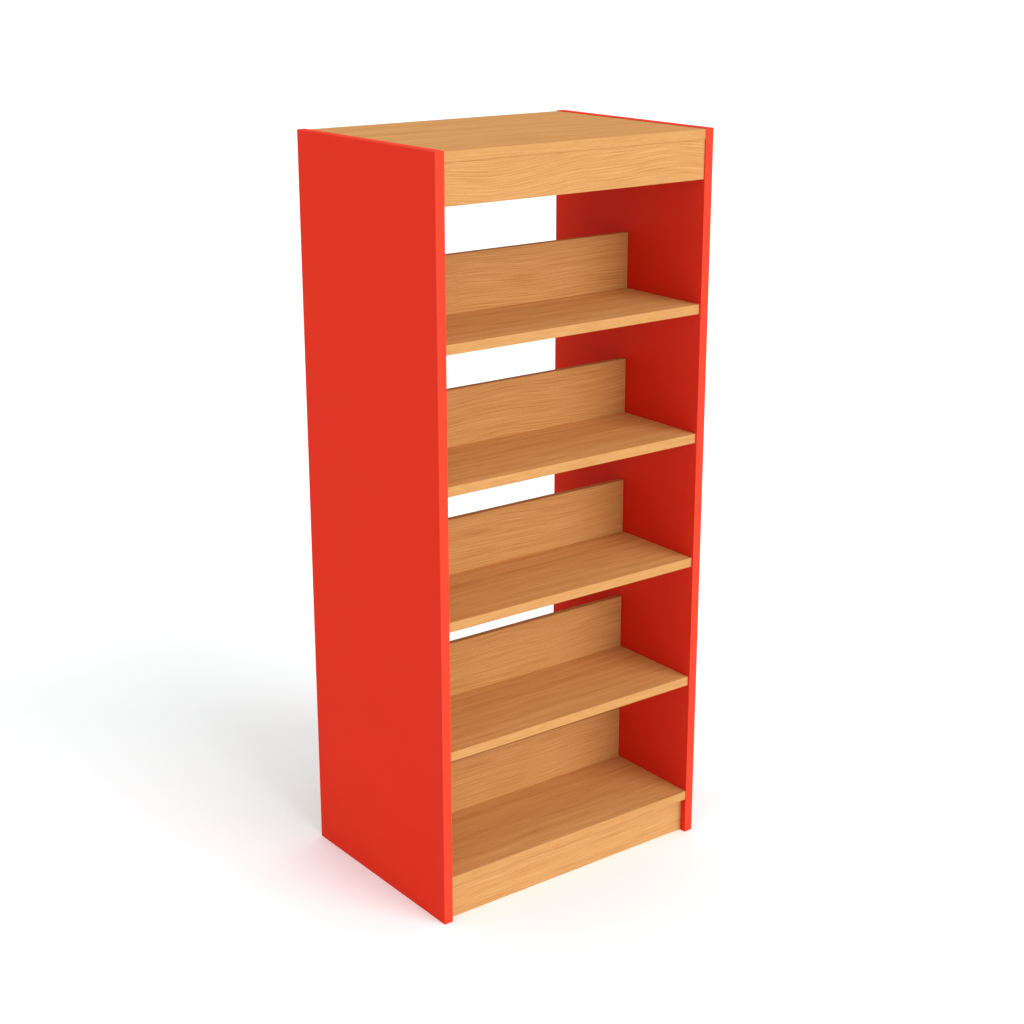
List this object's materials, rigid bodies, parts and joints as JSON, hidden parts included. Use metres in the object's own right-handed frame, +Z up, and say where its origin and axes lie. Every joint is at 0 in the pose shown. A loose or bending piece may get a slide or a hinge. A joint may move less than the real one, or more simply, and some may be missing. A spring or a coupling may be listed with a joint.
{
  "type": "double sided library shelving",
  "caption": "Free-standing double sided library shelving: red end panels, beech-finish shelves with centre book stops, a top with fascias and a plinth base.",
  "frame": {"origin": "on the floor, in the middle of the unit's width and depth", "axes": "+Z up, X along the shelves, -Y towards the front side and +Y towards the back side, which are alike"},
  "size_m": [0.85, 0.6, 1.952],
  "materials": {
    "red_board": "red melamine-faced board, satin",
    "beech_board": "beech-effect melamine-faced board, satin",
    "dowel_wood": "plain beech dowel",
    "pin_steel": "nickel-plated steel"
  },
  "bodies": {
    "carcass": {"book_stop_bottom": "beech_board", "bottom_dowel_1_left": "dowel_wood", "bottom_dowel_1_right": "dowel_wood", "bottom_dowel_2_left": "dowel_wood", "bottom_dowel_2_right": "dowel_wood", "bottom_dowel_3_left": "dowel_wood", "bottom_dowel_3_right": "dowel_wood", "bottom_dowel_4_left": "dowel_wood", "bottom_dowel_4_right": "dowel_wood", "bottom_shelf": "beech_board", "end_panel_left": "red_board", "end_panel_right": "red_board", "fascia_back": "beech_board", "fascia_back_dowel_left": "dowel_wood", "fascia_back_dowel_right": "dowel_wood", "fascia_back_top_dowel": "dowel_wood", "fascia_front": "beech_board", "fascia_front_dowel_left": "dowel_wood", "fascia_front_dowel_right": "dowel_wood", "fascia_front_top_dowel": "dowel_wood", "plinth_back": "beech_board", "plinth_back_dowel_left": "dowel_wood", "plinth_back_dowel_right": "dowel_wood", "plinth_front": "beech_board", "plinth_front_dowel_left": "dowel_wood", "plinth_front_dowel_right": "dowel_wood", "shelf_1_pin_left_back": "pin_steel", "shelf_1_pin_left_front": "pin_steel", "shelf_1_pin_right_back": "pin_steel", "shelf_1_pin_right_front": "pin_steel", "shelf_2_pin_left_back": "pin_steel", "shelf_2_pin_left_front": "pin_steel", "shelf_2_pin_right_back": "pin_steel", "shelf_2_pin_right_front": "pin_steel", "shelf_3_pin_left_back": "pin_steel", "shelf_3_pin_left_front": "pin_steel", "shelf_3_pin_right_back": "pin_steel", "shelf_3_pin_right_front": "pin_steel", "shelf_4_pin_left_back": "pin_steel", "shelf_4_pin_left_front": "pin_steel", "shelf_4_pin_right_back": "pin_steel", "shelf_4_pin_right_front": "pin_steel", "top_dowel_1_left": "dowel_wood", "top_dowel_1_right": "dowel_wood", "top_dowel_2_left": "dowel_wood", "top_dowel_2_right": "dowel_wood", "top_dowel_3_left": "dowel_wood", "top_dowel_3_right": "dowel_wood", "top_dowel_4_left": "dowel_wood", "top_dowel_4_right": "dowel_wood", "top_panel": "beech_board"},
    "loose_shelf_1": {"shelf_1": "beech_board", "book_stop_1": "beech_board"},
    "loose_shelf_2": {"shelf_2": "beech_board", "book_stop_2": "beech_board"},
    "loose_shelf_3": {"shelf_3": "beech_board", "book_stop_3": "beech_board"},
    "loose_shelf_4": {"shelf_4": "beech_board", "book_stop_4": "beech_board"}
  },
  "joints": [
    {"name": "shelf_1_lift", "type": "slide", "parent": "carcass", "child": "loose_shelf_1", "axis": [0, 0, 1], "range_m": [0, 0.168]},
    {"name": "shelf_2_lift", "type": "slide", "parent": "carcass", "child": "loose_shelf_2", "axis": [0, 0, 1], "range_m": [0, 0.168]},
    {"name": "shelf_3_lift", "type": "slide", "parent": "carcass", "child": "loose_shelf_3", "axis": [0, 0, 1], "range_m": [0, 0.168]},
    {"name": "shelf_4_lift", "type": "slide", "parent": "carcass", "child": "loose_shelf_4", "axis": [0, 0, 1], "range_m": [0, 0.268]}
  ]
}
